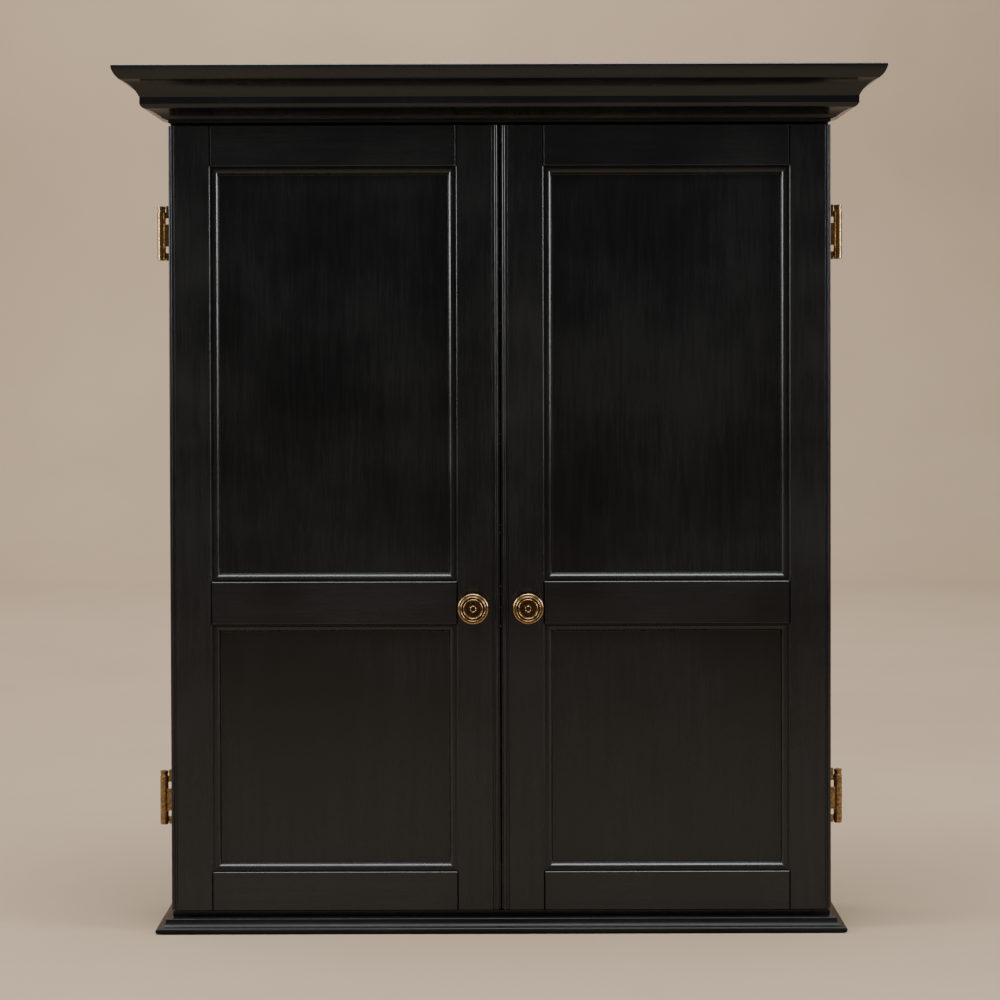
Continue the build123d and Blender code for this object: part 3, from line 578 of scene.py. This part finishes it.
# Strokes of each digit on a field 0.6 wide and 1 high.
DIGITS = {
    "0": [[(0.3 + 0.27 * math.cos(math.tau * i / 28), 0.5 + 0.5 * math.sin(math.tau * i / 28))
           for i in range(29)]],
    "1": [[(0.12, 0.78), (0.34, 1.0), (0.34, 0.0)]],
    "2": [arc_points((0.3, 0.72), 0.28, 170, -35, 14) + [(0.02, 0.0), (0.6, 0.0)]],
    "3": [arc_points((0.28, 0.75), 0.25, 150, -90, 14)
          + arc_points((0.28, 0.26), 0.26, 90, -155, 14)[1:]],
    "4": [[(0.44, 0.0), (0.44, 1.0), (0.0, 0.32), (0.62, 0.32)]],
    "5": [[(0.54, 1.0), (0.10, 1.0), (0.05, 0.56)] + arc_points((0.27, 0.31), 0.31, 115, -150, 16)],
    "6": [[(0.46, 1.0), (0.22, 0.82), (0.06, 0.55)] + arc_points((0.3, 0.29), 0.29, 170, -190, 24)],
    "7": [[(0.0, 1.0), (0.58, 1.0), (0.2, 0.0)]],
    "8": [arc_points((0.3, 0.76), 0.24, 0, 360, 22), arc_points((0.3, 0.26), 0.27, 0, 360, 22)],
}
DIGITS["9"] = [[(0.6 - x, 1.0 - y) for x, y in stroke] for stroke in DIGITS["6"]]
NUMBERS = (20, 1, 18, 4, 13, 6, 10, 15, 2, 17, 3, 19, 7, 16, 8, 11, 14, 9, 12, 5)
DIGIT_H, DIGIT_PITCH = 19.0, 14.6   # mm
DIGIT_TOP_R = 202.4
RING_R, RING_WIRE_R = 203.0, 1.2
RING_INSET = 1.25                   # from the back of the ring's box to the wire's centre
DIGIT_WIRE_R = 0.85


def make_number_ring():
    """A wire ring with wire figures on its inner side, upright in the lower half as well."""
    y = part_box("number_ring")[1].y - RING_INSET * MM
    shape = Shape()
    ring = [on_board(RING_R * MM, 2.0 * i, y) for i in range(180)]
    shape.join(*tube(ring, RING_WIRE_R * MM, 10, closed=True))
    for k, number in enumerate(NUMBERS):
        turn = math.radians(SECTOR * k)
        outward = Vector((math.sin(turn), 0, math.cos(turn)))
        up = outward if outward.z > -0.01 else -outward
        right = Vector((up.z, 0, -up.x))
        middle = outward * (DIGIT_TOP_R - DIGIT_H / 2)
        text = str(number)
        for place, digit in enumerate(text):
            across = (place - (len(text) - 1) / 2) * DIGIT_PITCH - 0.3 * DIGIT_H
            for stroke in DIGITS[digit]:
                path = [(middle + right * (across + px * DIGIT_H) + up * ((pz - 0.5) * DIGIT_H)) * MM
                        + Vector((0, y, 0)) for px, pz in stroke]
                shape.join(*tube(path, DIGIT_WIRE_R * MM, 8))
    piece("number_ring_wires", shape.verts, shape.faces, "dart_board", ["number_ring"],
          [wire_steel])


make_sisal()
make_spider()
make_number_ring()


# ---------------------------------------------------------------- darts

# Heights above the tip, in mm.
NOSE, TAIL = 32.0, 82.0
FLIGHT_LOW = 112.0
FIN = ((1.2, 0.0), (4.2, 0.6), (9.0, 5.4), (14.6, 11.8), (17.3, 16.2), (17.8, 21.0), (17.8, 33.0),
       (17.0, 36.6), (14.4, 40.0), (11.4, 43.6), (10.6, 44.0), (1.2, 44.0))
FIN_HALF_T = 0.22
DART_SEGMENTS = 28
GRIP_RINGS, GRIP_PITCH = 12, 2.2    # grooves cut round the barrel
DARTS = 6
RED_DARTS = 3                       # the rest are green


def dart_outlines():
    """Point, barrel and stem, each as (radius, height) points with its finish."""
    point = [(0.0, 0.0), (0.25, 0.9), (0.75, 4.0), (1.1, 8.0), (1.15, 12.0), (1.15, NOSE), (0.0, NOSE)]
    barrel = [(0.0, NOSE + 0.02), (1.6, NOSE + 0.05), (2.0, NOSE + 0.8), (2.7, NOSE + 4.0),
              (3.15, NOSE + 8.0), (3.2, NOSE + 12.0)]
    for i in range(GRIP_RINGS):
        z = NOSE + 13.0 + GRIP_PITCH * i
        barrel += [(3.2, z), (2.75, z + 0.35), (2.75, z + 0.75), (3.2, z + 1.1)]
    barrel += [(3.2, TAIL - 8.0), (3.0, TAIL - 5.0), (2.6, TAIL - 1.0), (2.4, TAIL - 0.1), (0.0, TAIL - 0.05)]
    stem = [(0.0, TAIL + 0.05), (2.2, TAIL + 0.1), (2.2, TAIL + 3.0), (1.7, TAIL + 5.0), (1.6, TAIL + 18.0),
            (2.1, TAIL + 28.0), (2.3, FLIGHT_LOW), (2.4, FLIGHT_LOW + 14.0),
            (1.8, FLIGHT_LOW + 15.0), (0.0, FLIGHT_LOW + 15.0)]
    return (point, 0), (barrel, 1), (stem, 2)


def make_dart(number):
    node = f"dart_{number}"
    low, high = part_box(node)
    origin = Vector(((low.x + high.x) / 2, (low.y + high.y) / 2, low.z))
    shape = Shape()
    for outline, finish in dart_outlines():
        verts, faces = lathe([(r * MM, h * MM) for r, h in outline], DART_SEGMENTS, origin,
                             (0, 0, 1))
        shape.join(verts, faces, finish)
    for quarter in range(4):
        turn = math.radians(45.0 + 90.0 * quarter)
        outward = Vector((math.cos(turn), math.sin(turn), 0))
        aside = Vector((-outward.y, outward.x, 0)) * FIN_HALF_T * MM
        edge = [origin + outward * (r * MM) + Vector((0, 0, (FLIGHT_LOW + h) * MM)) for r, h in FIN]
        count = len(edge)
        verts = [v + aside for v in edge] + [v - aside for v in edge]
        faces = [tuple(range(count)), tuple(reversed(range(count, 2 * count)))]
        faces += [(i, count + i, count + (i + 1) % count, (i + 1) % count) for i in range(count)]
        shape.join(verts, faces, 3)
    flight = FLIGHTS[0 if number <= RED_DARTS else 1]
    made = piece(f"{node}_detailed", shape.verts, shape.faces, f"{node}_body", [node],
                 [wire_steel, barrel_steel, black_plastic, flight], shape.finishes)
    for polygon in made.data.polygons:
        polygon.use_smooth = polygon.material_index != 3


for number in range(1, DARTS + 1):
    make_dart(number)


# ---------------------------------------------------------------- floor, backdrop and lights

FLOOR_GAP = 0.0005
floor_z = CAD_BOX[0].z - FLOOR_GAP
COVE_Y, COVE_R = 3.4, 1.2
STAGE_HALF_W, STAGE_FRONT, STAGE_TOP = 9.0, -9.0, 6.0
# One plain colour all over, with only a faint speckle between these two.
FLOOR_SHADE, FLOOR_TINT = colour(0.222, 0.176, 0.130), colour(0.234, 0.186, 0.138)


def make_stage():
    """A pale floor that curves up into a backdrop far behind the cabinet."""
    section = [(STAGE_FRONT, floor_z)]
    section += [(y, z) for y, z in arc_points((COVE_Y, floor_z + COVE_R), COVE_R, -90, 0, 24)]
    section.append((COVE_Y + COVE_R, STAGE_TOP))
    verts = [(x, y, z) for y, z in section for x in (-STAGE_HALF_W, STAGE_HALF_W)]
    faces = [(2 * i, 2 * i + 1, 2 * i + 3, 2 * i + 2) for i in range(len(section) - 1)]
    mesh = bpy.data.meshes.new("floor")
    mesh.from_pydata(verts, [], faces)
    for polygon in mesh.polygons:
        polygon.use_smooth = True
    floor = bpy.data.objects.new("floor", mesh)
    bpy.context.scene.collection.objects.link(floor)
    tree = Tree("pale_floor")
    speckle = tree.noise(3.0, detail=3.0)
    toned = tree.blend(tree.ramp(speckle, 0.3, 0.7), FLOOR_SHADE, FLOOR_TINT)
    mesh.materials.append(tree.finish(Base_Color=toned, Roughness=0.9, Specular_IOR_Level=0.2))


def area_light(name, place, aim, size, power, tint=(1.0, 0.97, 0.92)):
    light = bpy.data.lights.new(name, "AREA")
    light.shape = "RECTANGLE"
    light.size, light.size_y = size
    light.energy = power
    light.color = tint
    lamp = bpy.data.objects.new(name, light)
    lamp.location = place
    lamp.rotation_euler = (Vector(aim) - Vector(place)).to_track_quat("-Z", "Y").to_euler()
    bpy.context.scene.collection.objects.link(lamp)


SKY_RISE = 0.85                     # sine of the angle at which the light is full
EYE_LEVEL_LIGHT, OVERHEAD_LIGHT = 0.080, 0.70


def make_world():
    """Soft room light: bright above, dim at eye level, with a plain pale background."""
    world = bpy.data.worlds.new("room")
    world.use_nodes = True
    bpy.context.scene.world = world
    nodes, links = world.node_tree.nodes, world.node_tree.links
    background = nodes["Background"]
    direction = nodes.new("ShaderNodeTexCoord")
    parts = nodes.new("ShaderNodeSeparateXYZ")
    rise = nodes.new("ShaderNodeMapRange")
    rise.inputs["From Min"].default_value = 0.0
    rise.inputs["From Max"].default_value = SKY_RISE
    rise.inputs["To Min"].default_value = EYE_LEVEL_LIGHT
    rise.inputs["To Max"].default_value = OVERHEAD_LIGHT
    links.new(direction.outputs["Generated"], parts.inputs[0])
    links.new(parts.outputs["Z"], rise.inputs["Value"])
    background.inputs["Color"].default_value = colour(1.0, 0.96, 0.91)
    links.new(rise.outputs["Result"], background.inputs["Strength"])
    seen = nodes.new("ShaderNodeBackground")
    seen.inputs["Color"].default_value = colour(0.52, 0.48, 0.43)
    rays = nodes.new("ShaderNodeLightPath")
    either = nodes.new("ShaderNodeMixShader")
    links.new(rays.outputs["Is Camera Ray"], either.inputs[0])
    links.new(background.outputs[0], either.inputs[1])
    links.new(seen.outputs[0], either.inputs[2])
    links.new(either.outputs[0], nodes["World Output"].inputs["Surface"])


make_stage()
make_world()
area_light("key_above", (-0.1, -0.55, 2.2), (0.0, -0.35, 0.0), (2.4, 1.7), 170.0)
area_light("fill_left", (-2.2, -0.70, 0.80), (0.0, -0.1, 0.15), (0.7, 1.4), 68.0)
area_light("fill_right", (2.2, -0.70, 0.80), (0.0, -0.1, 0.15), (0.7, 1.4), 68.0)
area_light("back_soft", (-0.5, 2.0, 2.6), (-0.2, 4.4, 0.9), (3.6, 1.2), 300.0,
           tint=(1.0, 0.93, 0.84))
